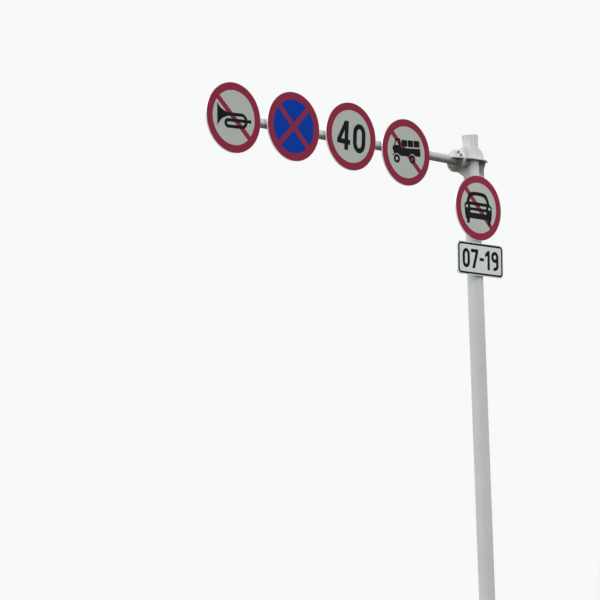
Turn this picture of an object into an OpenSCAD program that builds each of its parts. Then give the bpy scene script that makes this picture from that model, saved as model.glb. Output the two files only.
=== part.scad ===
// Cantilever sign gantry: a round steel mast with one raised arm, four round
// signs on the arm, one round sign and one rectangular plate on the mast.
// Origin: centre of the base plate's underside. +Z up, the arm runs along -X
// and the sign faces look along -Y.

/* [Mast] */
// Outside diameter of the mast tube
mast_d = 194; // [168:1:219]
// Wall of the mast tube
mast_wall = 6; // [4:0.5:12]
// Height of the arm's axis at the mast, above the ground
arm_z = 5500; // [4800:10:6500]
// Height of the mast tube above the arm's axis
mast_over_arm = 337; // [290:1:600]
// Thickness of the cap plate on the mast
mast_cap_t = 8; // [5:1:16]
// Set-back of the cap plate from the mast's outside, for its weld
mast_cap_setback = 3; // [1:0.5:3.5]

/* [Base] */
// Diameter of the base plate
base_d = 520; // [500:5:640]
// Thickness of the base plate
base_t = 25; // [16:1:40]
// Bolt circle of the anchor holes
anchor_pcd = 430; // [400:5:440]
// Diameter of the anchor holes
anchor_hole_d = 34; // [22:1:40]
// Number of anchor holes, with one rib between each pair
anchor_count = 8; // [6:1:10]
// Height of the base ribs
base_rib_h = 170; // [120:5:300]
// Thickness of the base ribs
base_rib_t = 12; // [8:1:20]
// Set-back of the base ribs from the edge of the base plate
base_rib_setback = 18; // [10:1:40]
// Height of the square toe at the foot of each rib
base_rib_toe = 22; // [10:1:40]

/* [Arm] */
// Outside diameter of the arm tube
arm_d = 108; // [95:1:130]
// Wall of the arm tube
arm_wall = 4.5; // [3:0.5:8]
// Length of arm beyond the outermost sign's centre
tip_overhang = 275; // [240:5:450]
// Rise of the arm towards its tip, in degrees
arm_rise = 2.75; // [0:0.25:5]
// Thickness of the plate that closes the arm's tip
arm_cap_t = 6; // [3:1:12]

/* [Bracket] */
// Distance from the mast's axis to the joint of the two flanges
joint_x = 258; // [240:1:320]
// Diameter of the two flanges
flange_d = 280; // [270:2:320]
// Thickness of each flange
flange_t = 20; // [12:1:28]
// Bolt circle of the flanges
flange_pcd = 226; // [215:1:230]
// Diameter of the flange bolt holes
flange_hole_d = 22; // [14:1:26]
// Number of bolts in each quarter of the flanges, between two webs
flange_quarter_bolts = 2; // [1:1:3]
// Outside diameter of the stub between mast and flange
stub_d = 133; // [114:1:160]
// Wall of the stub
stub_wall = 8; // [5:0.5:12]
// Thickness of the bracket plate and the webs
web_t = 12; // [8:1:20]
// Height of the level bracket plate above the arm's axis
plate_lift = 33; // [10:1:40]
// Half width of the bracket plate at the flange
plate_flange_half_w = 128; // [90:1:130]
// Half width of the bracket plate where it is widest
plate_half_w = 170; // [150:1:220]
// Distance in front of the mast's axis at which the bracket plate is widest
plate_widest_x = 150; // [100:1:200]
// Distance behind the mast's axis at which the bracket plate's tail begins
plate_tail_start = 140; // [100:1:180]
// Half width of the bracket plate where its tail begins
plate_tail_start_half_w = 125; // [110:1:150]
// Reach of the bracket plate behind the mast
plate_tail = 265; // [262:1:300]
// Half width of the bracket plate at the end of its tail
plate_tail_half_w = 35; // [20:1:80]
// Height of the upper web where it meets the mast
web_up_h = 208; // [180:1:280]
// Depth of the lower web where it meets the mast
web_down_h = 186; // [170:1:280]
// Height of the upper tail web's shoulder
tail_up_h = 66; // [52:1:150]
// Depth of the lower tail web's shoulder
tail_down_h = 160; // [80:1:165]
// Reach of the upper tail web behind the mast
tail_up_reach = 232; // [180:1:260]
// Reach of the lower tail web behind the mast at its shoulder
tail_down_reach = 222; // [180:1:234]
// Reach of the lower tail web where it meets the bracket plate
tail_root_reach = 260; // [236:1:260]
// Depth below the arm's axis at which the lower tail web's root has tapered off
tail_root_depth = 60; // [30:1:75]
// Length of the gussets on the arm's side of the joint
gusset_len = 122; // [80:1:240]
// Height of a gusset's square toe on the arm
gusset_toe = 13; // [4:1:20]
// Set-back of the webs and gussets from the edge of the flanges
flange_edge_gap = 5; // [3:1:12]

/* [Signs] */
// Diameter of the round signs
sign_d = 800; // [760:10:900]
// Distance from the mast's axis to the nearest sign on the arm
first_sign_x = 1230; // [1000:5:1400]
// Distance from one sign on the arm to the next
sign_pitch = 905; // [905:5:960]
// Offsets of the arm's signs across the arm, from the tip to the mast
sign_offsets = [-25, 5, 18, -45];
// Depth of the mast sign's centre below the arm's axis
mast_sign_drop = 570; // [560:5:900]
// How far the mast sign and the plate sit off the mast's axis, towards the arm
mast_sign_shift = 40; // [0:5:60]
// Thickness of the sign sheet
sheet_t = 2.5; // [1.5:0.5:4]
// Depth of the rim folded back round each sign
rim_depth = 16; // [8:1:24]
// Radius of the fold at the sign's edge
rim_fold_r = 4; // [2:0.5:6]

/* [Plate] */
// Width of the rectangular plate
plate_w = 800; // [600:10:900]
// Height of the rectangular plate
plate_h = 400; // [300:10:500]
// Radius of the plate's corners
plate_corner_r = 45; // [20:5:80]
// Gap between the mast sign and the plate
plate_gap = 30; // [26:2:80]
// Turn of the plate on its clamps, clockwise from the front, in degrees
plate_turn = 2; // [0:0.5:3]

/* [Rails and clamps] */
// Width of the slide rails
rail_w = 40; // [32:1:50]
// Depth of the slide rails
rail_depth = 28; // [20:1:40]
// Thickness of the rail's wall
rail_t = 2.5; // [2:0.5:4]
// Width of the slot along the rail's open side
rail_slot = 16; // [12:1:22]
// Clear distance from a rail's end to the sign's rim
rail_end_gap = 16; // [5:1:40]
// Distance between the two rails of a round sign
rail_pitch = 400; // [300:10:460]
// Distance between the two rails of the plate
plate_rail_pitch = 220; // [160:10:260]
// Clear distance from a tube to the rail in front of it, on the arm
arm_standoff = 24; // [16:1:40]
// Clear distance from a tube to the rail in front of it, on the mast
mast_standoff = 10; // [8:1:40]
// Width of the clamp straps
strap_w = 40; // [25:1:50]
// Thickness of the clamp straps
strap_t = 4; // [3:0.5:6]
// Inside radius of the bends in a clamp strap
strap_bend_r = 6; // [3:0.5:8]
// Length of a clamp strap's ear
ear_len = 38; // [32:1:50]
// Diameter of the bolt holes in the ears
ear_hole_d = 12; // [9:1:14]
// Thickness of the saddle's sheet
saddle_t = 4; // [3:0.5:6]
// Half height of a saddle, as a share of the tube's radius
saddle_half_share = 0.62; // [0.5:0.02:0.7]
// Depth at which a saddle's cheeks end, as a share of the tube's radius
saddle_cheek_share = 0.8; // [0.76:0.02:0.86]
// Clearance between a clamp and the tube that it holds
seat_clear = 0.3; // [0.2:0.1:0.6]

/* [Hidden] */
$fn = 96;

mast_r = mast_d / 2;
mast_top_z = arm_z + mast_over_arm;
arm_r = arm_d / 2;
flange_r = flange_d / 2;
mast_flange_back = joint_x - flange_t;
arm_flange_front = joint_x + flange_t;
// Height of the arm's side gussets above its axis, in line with the bracket plate at the joint
side_gusset_z = plate_lift / cos(arm_rise) - mast_flange_back * tan(arm_rise);
sign_r = sign_d / 2;
sign_count = len(sign_offsets);
mast_sign_z = arm_z - mast_sign_drop;
plate_z = mast_sign_z - sign_r - plate_gap - plate_h / 2;
// A cut runs this far past the faces that it goes through
over = 5;
paint_white = [0.86, 0.87, 0.87];
zinc = [0.62, 0.64, 0.66];
sheet_grey = [0.75, 0.76, 0.77];

function sign_x(i) = first_sign_x + (sign_count - 1 - i) * sign_pitch;
arm_reach = sign_x(0) + tip_overhang;

module at_arm_level() {
    translate([0, 0, arm_z])
        children();
}

// Places what belongs to the arm: its axis is local X, tilted up towards -X
module on_arm() {
    at_arm_level()
        rotate([0, arm_rise, 0])
            children();
}

// A point of the arm's own X and Z, in level X and Z about the same origin
function levelled(x, z) = [
    x * cos(arm_rise) + z * sin(arm_rise),
    z * cos(arm_rise) - x * sin(arm_rise)
];

// The level X at which the mast flange's back face stands at level height z
function flange_back_x(z) = (z * sin(arm_rise) - mast_flange_back) / cos(arm_rise);

// A bar along X from x0 to x1
module x_bar(r, x0, x1) {
    translate([x0, 0, 0])
        rotate([0, 90, 0])
            cylinder(h = x1 - x0, r = r);
}

// The space that the mast fills, seen from the arm's own frame
module mast_space_on_arm() {
    rotate([0, -arm_rise, 0])
        cylinder(h = 2 * (web_up_h + web_down_h), r = mast_r, center = true);
}

module ring_of_holes(pcd, count, d, h) {
    for (i = [0 : count - 1])
        rotate([0, 0, (i + 0.5) * 360 / count])
            translate([pcd / 2, 0, -over])
                cylinder(h = h + 2 * over, r = d / 2);
}

// A profile drawn in X and Z, with thickness t centred on Y = 0
module xz_plate(t) {
    rotate([90, 0, 0])
        linear_extrude(height = t, center = true)
            children();
}

module base_plate() {
    color(paint_white)
        difference() {
            cylinder(h = base_t, r = base_d / 2);
            ring_of_holes(anchor_pcd, anchor_count, anchor_hole_d, base_t);
        }
}

module base_ribs() {
    rib_end = base_d / 2 - base_rib_setback;
    color(paint_white)
        for (i = [0 : anchor_count - 1])
            rotate([0, 0, i * 360 / anchor_count])
                difference() {
                    translate([0, 0, base_t])
                        xz_plate(base_rib_t)
                            polygon([
                                [0, 0], [rib_end, 0], [rib_end, base_rib_toe],
                                [mast_r + base_rib_toe, base_rib_h], [0, base_rib_h]
                            ]);
                    cylinder(h = base_t + base_rib_h + over, r = mast_r);
                }
}

module mast() {
    color(paint_white)
        difference() {
            translate([0, 0, base_t])
                cylinder(h = mast_top_z - base_t, r = mast_r);
            translate([0, 0, base_t - over])
                cylinder(h = mast_top_z - base_t + 2 * over, r = mast_r - mast_wall);
        }
}

module mast_cap() {
    color(paint_white)
        translate([0, 0, mast_top_z])
            cylinder(h = mast_cap_t, r = mast_r - mast_cap_setback);
}

// What the bracket's plate and webs are cut to, in the level frame: the mast and the tilted stub
module bracket_cuts() {
    cylinder(h = 2 * (web_up_h + web_down_h), r = mast_r, center = true);
    rotate([0, arm_rise, 0])
        x_bar(stub_d / 2, -mast_flange_back - 2 * over, 0);
}

// Level plate just above the arm's axis, slotted over the mast and cut to the flange and the stub
module bracket_plate() {
    half = [
        [-mast_flange_back - over, plate_flange_half_w],
        [-plate_widest_x, plate_half_w],
        [plate_tail_start, plate_tail_start_half_w],
        [plate_tail, plate_tail_half_w]
    ];
    other_half = [for (i = [len(half) - 1 : -1 : 0]) [half[i][0], -half[i][1]]];
    color(paint_white)
        at_arm_level()
            difference() {
                translate([0, 0, plate_lift])
                    linear_extrude(height = web_t, center = true)
                        polygon(concat(half, other_half));
                bracket_cuts();
                rotate([0, arm_rise, 0])
                    translate([-mast_flange_back - flange_d, -flange_r, -flange_r])
                        cube([flange_d, flange_d, flange_d]);
            }
}

// The upright webs stand on one side of the level plate, side is 1 or -1. The tail's edge curves
// from the height mast_h at the mast to tail_h at its reach, then runs back to the plate
module web_outline(mast_h, tail_h, reach, root, side) {
    steps = 12;
    shoulder = reach - mast_r;
    seat = plate_lift + side * web_t / 2;
    polygon(concat(
        [[flange_back_x(seat), seat],
         levelled(-mast_flange_back, side * (flange_r - flange_edge_gap)),
         [-mast_r, side * mast_h], [mast_r, side * mast_h]],
        [for (i = [1 : steps])
            [mast_r + shoulder * sin(90 * i / steps),
             side * (tail_h + (mast_h - tail_h) * cos(90 * i / steps))]],
        root
    ));
}

module bracket_webs(mast_h, tail_h, reach, root, side) {
    color(paint_white)
        at_arm_level()
            difference() {
                xz_plate(web_t)
                    web_outline(mast_h, tail_h, reach, root, side);
                bracket_cuts();
            }
}

module bracket_upper_webs() {
    root = [[tail_up_reach, plate_lift + web_t / 2]];
    bracket_webs(web_up_h, tail_up_h, tail_up_reach, root, 1);
}

module bracket_lower_webs() {
    root = [[tail_down_reach, -tail_root_depth], [tail_root_reach, plate_lift - web_t / 2]];
    bracket_webs(web_down_h, tail_down_h, tail_down_reach, root, -1);
}

module bracket_stub() {
    color(paint_white)
        on_arm()
            difference() {
                x_bar(stub_d / 2, -mast_flange_back, 0);
                x_bar(stub_d / 2 - stub_wall, -mast_flange_back - over, over);
                mast_space_on_arm();
            }
}

// Bolt holes of a flange, spread over each quarter so that they stay clear of the webs
module flange_holes() {
    step = 90 / (flange_quarter_bolts + 1);
    for (quarter = [0 : 3])
        for (i = [1 : flange_quarter_bolts])
            rotate([0, 0, quarter * 90 + i * step])
                translate([flange_pcd / 2, 0, -over])
                    cylinder(h = flange_t + 2 * over, r = flange_hole_d / 2);
}

// A flange whose near face lies at distance x from the mast's axis
module flange(x) {
    color(paint_white)
        on_arm()
            translate([-x, 0, 0])
                rotate([0, -90, 0])
                    difference() {
                        cylinder(h = flange_t, r = flange_r);
                        flange_holes();
                    }
}

module mast_flange() { flange(mast_flange_back); }
module arm_flange() { flange(joint_x); }

// A gusset that stands along local +Z; the side ones are shifted to the bracket plate's height
module arm_gusset(shift) {
    gusset_end = arm_flange_front + gusset_len;
    gusset_top = flange_r - flange_edge_gap;
    translate([0, shift, 0])
        xz_plate(web_t)
            polygon([
                [-arm_flange_front, 0], [-gusset_end, 0],
                [-gusset_end, arm_r + gusset_toe],
                [-arm_flange_front - gusset_toe, gusset_top],
                [-arm_flange_front, gusset_top]
            ]);
}

module arm_gussets() {
    // Turn of each gusset about the arm and its shift to one side
    spots = [[0, 0], [90, side_gusset_z], [180, 0], [270, -side_gusset_z]];
    color(paint_white)
        on_arm()
            for (spot = spots)
                difference() {
                    rotate([spot[0], 0, 0])
                        arm_gusset(spot[1]);
                    x_bar(arm_r, -arm_flange_front - gusset_len - over, 0);
                }
}

module arm_tube() {
    color(paint_white)
        on_arm()
            difference() {
                x_bar(arm_r, -arm_reach + arm_cap_t, -arm_flange_front);
                x_bar(arm_r - arm_wall, -arm_reach, 0);
            }
}

module arm_end_cap() {
    color(paint_white)
        on_arm()
            x_bar(arm_r, -arm_reach, -arm_reach + arm_cap_t);
}

// Distance from a tube's axis to the front face of the sign that it carries
function face_y(tube_r, standoff) = tube_r + standoff + rail_depth + sheet_t;

// Half length of a rail that runs inside a round sign, off its centre
function round_rail_half(pitch) =
    sqrt(pow(sign_r - sheet_t - rail_end_gap, 2) - pow((pitch + rail_w) / 2, 2));

// Round panel with a folded rim, front face at y = -face, centre on the Y axis
module round_panel(face) {
    fold_steps = 6;
    color(sheet_grey)
        translate([0, -face, 0])
            rotate([-90, 0, 0])
                difference() {
                    rotate_extrude()
                        polygon(concat(
                            [[0, 0], [sign_r - rim_fold_r, 0]],
                            [for (i = [1 : fold_steps])
                                [sign_r - rim_fold_r + rim_fold_r * sin(90 * i / fold_steps),
                                 rim_fold_r - rim_fold_r * cos(90 * i / fold_steps)]],
                            [[sign_r, rim_depth], [0, rim_depth]]
                        ));
                    translate([0, 0, sheet_t])
                        cylinder(h = rim_depth, r = sign_r - sheet_t);
                }
}

module rounded_rectangle(w, h, r) {
    square([w - 2 * r, h], center = true);
    square([w, h - 2 * r], center = true);
    for (x = [-1, 1])
        for (z = [-1, 1])
            translate([x * (w / 2 - r), z * (h / 2 - r)])
                circle(r = r);
}

module flat_panel(face) {
    inner_r = plate_corner_r - sheet_t;
    color(sheet_grey)
        translate([0, -face, 0])
            rotate([90, 0, 0])
                mirror([0, 0, 1])
                    difference() {
                        linear_extrude(height = rim_depth)
                            rounded_rectangle(plate_w, plate_h, plate_corner_r);
                        translate([0, 0, sheet_t])
                            linear_extrude(height = rim_depth)
                                rounded_rectangle(plate_w - 2 * sheet_t, plate_h - 2 * sheet_t, inner_r);
                    }
}

// Slotted rail along Z, its front on the sheet and its slot to the back
module rail(half_len, back) {
    inner_w = rail_w - 2 * rail_t;
    color(zinc)
        translate([0, 0, -half_len])
            linear_extrude(height = 2 * half_len)
                difference() {
                    translate([-rail_w / 2, -back - rail_depth])
                        square([rail_w, rail_depth]);
                    translate([-inner_w / 2, -back - rail_depth + rail_t])
                        square([inner_w, rail_depth - 2 * rail_t]);
                    translate([-rail_slot / 2, -back - 2 * rail_t])
                        square([rail_slot, 2 * rail_t + over]);
                }
}

// Pressed saddle between a rail and the tube along X behind it
module saddle(tube_r, standoff) {
    seat_r = tube_r + seat_clear;
    half_h = saddle_half_share * tube_r;
    back = tube_r + standoff;
    color(zinc)
        difference() {
            translate([-strap_w / 2, -back, -half_h])
                cube([strap_w, back, 2 * half_h]);
            translate([-strap_w / 2 + saddle_t, -back + saddle_t, -half_h - over])
                cube([strap_w - 2 * saddle_t, back, 2 * (half_h + over)]);
            x_bar(seat_r, -strap_w, strap_w);
            translate([-strap_w, -saddle_cheek_share * tube_r, -half_h - over])
                cube([2 * strap_w, back, 2 * (half_h + over)]);
        }
}

// Bent strip in its own plane: round the back of a tube, two legs, two ears
module strap_profile(in_r, out_r, back) {
    bend_x = -back + strap_t + strap_bend_r;
    bend_z = out_r + strap_bend_r;
    difference() {
        circle(r = out_r);
        circle(r = in_r);
        translate([-2 * out_r, -out_r])
            square(2 * out_r);
    }
    for (s = [0, 1])
        mirror([0, s]) {
            translate([bend_x, in_r])
                square([-bend_x, strap_t]);
            translate([-back, bend_z])
                square([strap_t, ear_len - strap_bend_r]);
            translate([bend_x, bend_z])
                difference() {
                    circle(r = strap_bend_r + strap_t, $fn = 32);
                    circle(r = strap_bend_r, $fn = 32);
                    translate([0, -back])
                        square(2 * back);
                    translate([-back, 0])
                        square(2 * back);
                }
        }
}

// Strap round the back of the tube along X, its ears on the rail's back face
module strap(tube_r, standoff) {
    in_r = tube_r + seat_clear;
    out_r = in_r + strap_t;
    back = tube_r + standoff;
    ear_z = out_r + (ear_len + strap_bend_r) / 2;
    color(zinc)
        difference() {
            rotate([90, 0, 90])
                linear_extrude(height = strap_w, center = true)
                    strap_profile(in_r, out_r, back);
            for (s = [-1, 1])
                translate([0, -back + strap_t + over, s * ear_z])
                    rotate([90, 0, 0])
                        cylinder(h = strap_t + 2 * over, r = ear_hole_d / 2);
        }
}

// Arm signs: rails upright, across the arm
module at_sign(i) {
    on_arm()
        translate([-sign_x(i), 0, 0])
            children();
}

module two_rails(pitch) {
    for (s = [-1, 1])
        translate([s * pitch / 2, 0, 0])
            children();
}

module arm_sign_panel(i) {
    at_sign(i)
        translate([0, 0, sign_offsets[i]])
            round_panel(face_y(arm_r, arm_standoff));
}

module arm_sign_rails(i) {
    at_sign(i)
        two_rails(rail_pitch)
            translate([0, 0, sign_offsets[i]])
                rail(round_rail_half(rail_pitch), arm_r + arm_standoff);
}

module arm_sign_saddles(i) {
    at_sign(i)
        two_rails(rail_pitch)
            saddle(arm_r, arm_standoff);
}

module arm_sign_straps(i) {
    at_sign(i)
        two_rails(rail_pitch)
            strap(arm_r, arm_standoff);
}

// Mast fittings: the same pieces turned so that the rails lie level
module on_mast(z) {
    translate([0, 0, z])
        rotate([0, 90, 0])
            children();
}

module sign_1_panel() { arm_sign_panel(0); }
module sign_1_rails() { arm_sign_rails(0); }
module sign_1_saddles() { arm_sign_saddles(0); }
module sign_1_straps() { arm_sign_straps(0); }
module sign_2_panel() { arm_sign_panel(1); }
module sign_2_rails() { arm_sign_rails(1); }
module sign_2_saddles() { arm_sign_saddles(1); }
module sign_2_straps() { arm_sign_straps(1); }
module sign_3_panel() { arm_sign_panel(2); }
module sign_3_rails() { arm_sign_rails(2); }
module sign_3_saddles() { arm_sign_saddles(2); }
module sign_3_straps() { arm_sign_straps(2); }
module sign_4_panel() { arm_sign_panel(3); }
module sign_4_rails() { arm_sign_rails(3); }
module sign_4_saddles() { arm_sign_saddles(3); }
module sign_4_straps() { arm_sign_straps(3); }

module mast_sign_panel() {
    translate([-mast_sign_shift, 0, mast_sign_z])
        round_panel(face_y(mast_r, mast_standoff));
}

module mast_sign_rails() {
    translate([-mast_sign_shift, 0, 0])
        on_mast(mast_sign_z)
            two_rails(rail_pitch)
                rail(round_rail_half(rail_pitch), mast_r + mast_standoff);
}

module mast_sign_saddles() {
    on_mast(mast_sign_z)
        two_rails(rail_pitch)
            saddle(mast_r, mast_standoff);
}

module mast_sign_straps() {
    on_mast(mast_sign_z)
        two_rails(rail_pitch)
            strap(mast_r, mast_standoff);
}

// The plate and its rails, turned a little on the mast
module at_plate() {
    translate([-mast_sign_shift, 0, plate_z])
        rotate([0, plate_turn, 0])
            children();
}

module plate_panel() {
    at_plate()
        flat_panel(face_y(mast_r, mast_standoff));
}

module plate_rails() {
    at_plate()
        on_mast(0)
            two_rails(plate_rail_pitch)
                rail(plate_w / 2 - plate_corner_r, mast_r + mast_standoff);
}

module plate_saddles() {
    on_mast(plate_z)
        two_rails(plate_rail_pitch)
            saddle(mast_r, mast_standoff);
}

module plate_straps() {
    on_mast(plate_z)
        two_rails(plate_rail_pitch)
            strap(mast_r, mast_standoff);
}

base_plate();
base_ribs();
mast();
mast_cap();
bracket_plate();
bracket_upper_webs();
bracket_lower_webs();
bracket_stub();
mast_flange();
arm_flange();
arm_gussets();
arm_tube();
arm_end_cap();
sign_1_panel();
sign_1_rails();
sign_1_saddles();
sign_1_straps();
sign_2_panel();
sign_2_rails();
sign_2_saddles();
sign_2_straps();
sign_3_panel();
sign_3_rails();
sign_3_saddles();
sign_3_straps();
sign_4_panel();
sign_4_rails();
sign_4_saddles();
sign_4_straps();
mast_sign_panel();
mast_sign_rails();
mast_sign_saddles();
mast_sign_straps();
plate_panel();
plate_rails();
plate_saddles();
plate_straps();
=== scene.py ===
import math
import random
from collections import namedtuple

import bmesh
import bpy
from mathutils import Matrix, Vector
from mathutils.geometry import tessellate_polygon


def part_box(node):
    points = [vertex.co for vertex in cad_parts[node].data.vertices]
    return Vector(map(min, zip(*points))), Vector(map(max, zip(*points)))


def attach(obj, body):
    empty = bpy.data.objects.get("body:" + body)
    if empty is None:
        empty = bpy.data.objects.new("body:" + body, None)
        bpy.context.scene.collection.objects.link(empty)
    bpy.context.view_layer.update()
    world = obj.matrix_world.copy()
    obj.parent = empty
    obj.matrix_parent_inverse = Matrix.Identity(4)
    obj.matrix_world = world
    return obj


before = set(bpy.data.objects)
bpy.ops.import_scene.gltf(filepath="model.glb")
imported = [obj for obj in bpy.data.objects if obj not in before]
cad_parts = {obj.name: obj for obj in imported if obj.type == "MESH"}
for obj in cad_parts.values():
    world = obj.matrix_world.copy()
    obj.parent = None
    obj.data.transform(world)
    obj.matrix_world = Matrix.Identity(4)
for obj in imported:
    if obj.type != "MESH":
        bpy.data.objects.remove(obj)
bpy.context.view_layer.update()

# Lengths are in metres, unless a name ends in _MM; MM turns millimetres into metres
MM = 0.001
SEED = 11

# Sizes that the bolts, the welds, the dirt and the painted shade and light share with the
# construction

# The mast, with the height and the rise of the arm's axis
ARM_Z = 5.500
ARM_RISE = math.radians(2.75)
MAST_R = 0.097
MAST_TOP = ARM_Z + 0.337
CAP_SETBACK = 0.003

# The base plate, its anchor bolts and the ribs on it
BASE_T = 0.025
ANCHOR_CIRCLE_R = 0.215
ANCHOR_COUNT = 8
RIB_T = 0.012
RIB_H = 0.170
RIB_END = 0.242

# The arm, the stub on the mast, and the two flanges that join them at JOINT_X from the mast
ARM_R = 0.054
STUB_R = 0.0665
JOINT_X = 0.258
FLANGE_T = 0.020
FLANGE_R = 0.140
FLANGE_CIRCLE_R = 0.113
FLANGE_BOLT_ANGLES = (30, 60, 120, 150, 210, 240, 300, 330)
GUSSET_LEN = 0.122

# The bracket: its level plate, the upright webs above and below it, and its tail behind the mast
WEB_T = 0.012
WEB_UP = 0.208
WEB_DOWN = 0.186
PLATE_LIFT = 0.033
PLATE_FLANGE_HALF = 0.128
TAIL_UP_REACH = 0.232
TAIL_ROOT_REACH = 0.260

# The clamps that hold the signs: rails, and straps that end in bolted ears
RAIL_PITCH = 0.400
PLATE_RAIL_PITCH = 0.220
ARM_STANDOFF = 0.024
MAST_STANDOFF = 0.010
SEAT_CLEAR = 0.0003
STRAP_T = 0.004
STRAP_BEND = 0.006
EAR_LEN = 0.038

# The arm's own frame: its axis is local X, and the origin is where it crosses the mast's axis
ARM_FRAME = Matrix.Translation((0, 0, ARM_Z)) @ Matrix.Rotation(ARM_RISE, 4, "Y")

# The outer faces of the joint's two flanges, towards the arm and towards the mast, along the arm
JOINT_FRONT = -JOINT_X - FLANGE_T
JOINT_BACK = -JOINT_X + FLANGE_T

# The middle of the level plate, above ground at the mast and in the arm's frame at the joint,
# where the arm's side gussets meet it
PLATE_Z = ARM_Z + PLATE_LIFT
SIDE_GUSSET_Z = PLATE_LIFT / math.cos(ARM_RISE) + JOINT_BACK * math.tan(ARM_RISE)


# Node trees

class Tree:
    """A node tree. Most calls add nodes and return the output that carries their result."""

    def __init__(self, node_tree):
        self.nodes = node_tree.nodes
        self.links = node_tree.links

    def feed(self, socket, value):
        """Links an output to a socket, or writes a number or a colour on it."""
        if isinstance(value, tuple):
            socket.default_value = (*value, 1)
        elif isinstance(value, (int, float)):
            socket.default_value = value
        else:
            self.links.new(value, socket)

    def coordinates(self, stretch=(1, 1, 1)):
        """Coordinates in metres, stretched along each axis."""
        coord = self.nodes.new("ShaderNodeTexCoord")
        mapping = self.nodes.new("ShaderNodeMapping")
        mapping.inputs["Scale"].default_value = stretch
        self.links.new(coord.outputs["Object"], mapping.inputs["Vector"])
        return mapping.outputs["Vector"]

    def place(self):
        """Three outputs: where the surface is, in metres."""
        coord = self.nodes.new("ShaderNodeTexCoord")
        split = self.nodes.new("ShaderNodeSeparateXYZ")
        self.links.new(coord.outputs["Object"], split.inputs["Vector"])
        return split.outputs

    def facing_up(self):
        """1 where the surface faces straight up, 0 where it is upright, -1 where it faces down."""
        geometry = self.nodes.new("ShaderNodeNewGeometry")
        split = self.nodes.new("ShaderNodeSeparateXYZ")
        self.links.new(geometry.outputs["Normal"], split.inputs["Vector"])
        return split.outputs["Z"]

    def noise(self, scale, stretch=(1, 1, 1), detail=4, roughness=0.55):
        node = self.nodes.new("ShaderNodeTexNoise")
        node.inputs["Scale"].default_value = scale
        node.inputs["Detail"].default_value = detail
        node.inputs["Roughness"].default_value = roughness
        self.links.new(self.coordinates(stretch), node.inputs["Vector"])
        return node.outputs["Fac"]

    def ramp(self, value, low, high, out_low=0.0, out_high=1.0):
        """Maps value from low..high to out_low..out_high, with a smooth step."""
        node = self.nodes.new("ShaderNodeMapRange")
        node.interpolation_type = "SMOOTHSTEP"
        node.inputs["From Min"].default_value = low
        node.inputs["From Max"].default_value = high
        node.inputs["To Min"].default_value = out_low
        node.inputs["To Max"].default_value = out_high
        self.links.new(value, node.inputs["Value"])
        return node.outputs["Result"]

    def band_below(self, height, top, length):
        """1 just under the height top, fading to 0 at length below it, and 0 above top."""
        edge = 0.001
        fade = self.ramp(height, top - length, top)
        under = self.ramp(height, top - edge, top + edge, 1, 0)
        return self.product(fade, under)

    def mix(self, factor, a, b):
        """Mixes the colours a and b."""
        node = self.nodes.new("ShaderNodeMix")
        node.data_type = "RGBA"
        self.feed(node.inputs["Factor"], factor)
        self.feed(node.inputs[6], a)
        self.feed(node.inputs[7], b)
        return node.outputs[2]

    def math(self, operation, a, b):
        node = self.nodes.new("ShaderNodeMath")
        node.operation = operation
        self.feed(node.inputs[0], a)
        self.feed(node.inputs[1], b)
        return node.outputs[0]

    def product(self, first, *others):
        for other in others:
            first = self.math("MULTIPLY", first, other)
        return first

    def bump(self, height, strength, distance, before=None):
        node = self.nodes.new("ShaderNodeBump")
        node.inputs["Strength"].default_value = strength
        node.inputs["Distance"].default_value = distance
        self.links.new(height, node.inputs["Height"])
        if before:
            self.links.new(before, node.inputs["Normal"])
        return node.outputs["Normal"]


def new_material(name):
    """Returns a material, its tree and its shader's inputs."""
    mat = bpy.data.materials.new(name)
    mat.use_nodes = True
    return mat, Tree(mat.node_tree), mat.node_tree.nodes["Principled BSDF"].inputs


# White paint: each function returns where one mark lies, from 0 to 1: a kind of wear, painted shade,
# painted light

def rust_specks(tree):
    specks = tree.noise(85, (1, 1, 0.55), detail=3, roughness=0.5)
    patches = tree.noise(3.1, detail=2)
    return tree.product(tree.ramp(specks, 0.70, 0.74), tree.ramp(patches, 0.5, 0.62))


def traffic_haze(tree):
    """A grey film on the mast, which fades towards the arm."""
    return tree.ramp(tree.place()["Z"], ARM_Z - 2.2, ARM_Z - 0.3, 0.56, 0)


def foot_splashes(tree):
    """Splashed spots on the lowest part of the mast, and soil on the base."""
    height = tree.place()["Z"]
    spots = tree.ramp(tree.noise(95, (1, 1, 0.8), detail=10, roughness=0.75), 0.54, 0.70)
    soil = tree.ramp(tree.noise(7, detail=5, roughness=0.6), 0.38, 0.66, 0.1, 0.55)
    low = tree.ramp(height, 0.0, 0.75, 0.75, 0)
    at_foot = tree.ramp(height, 0.02, 0.20, 1, 0)
    return tree.math("MAXIMUM", tree.product(low, spots), tree.product(at_foot, soil))


def arm_darkening(tree):
    """The arm darker in grey clouds, most of all next to the bracket."""
    x = tree.place()["X"]
    on_arm = tree.ramp(x, -JOINT_X - 0.17, -JOINT_X - 0.12, 1, 0)
    along = tree.ramp(x, -3.6, -0.7, 0.22, 0.55)
    clouds = tree.ramp(tree.noise(5, (1, 1.6, 1.6), detail=5, roughness=0.6), 0.3, 0.7, 0.6, 1)
    return tree.product(on_arm, along, clouds)


def bracket_painted_light(tree):
    """Painted light on the bracket and the joint above the level plate, which are painted lighter.
    """
    x, _, z = tree.place()
    above = tree.ramp(z, ARM_Z + 0.04, ARM_Z + 0.07)
    off_mast = tree.ramp(x, -MAST_R - 0.01, -MAST_R - 0.04)
    near = tree.ramp(x, -JOINT_X - 0.16, -JOINT_X - 0.13)
    return tree.product(above, off_mast, near)


def mast_painted_shade_below_plate(tree):
    """Painted shade on the mast just under the level plate, strongest beside the tail web."""
    x, _, z = tree.place()
    return tree.product(tree.band_below(z, PLATE_Z, 0.16), tree.ramp(x, -0.05, 0.08, 0.1, 0.75))


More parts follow.
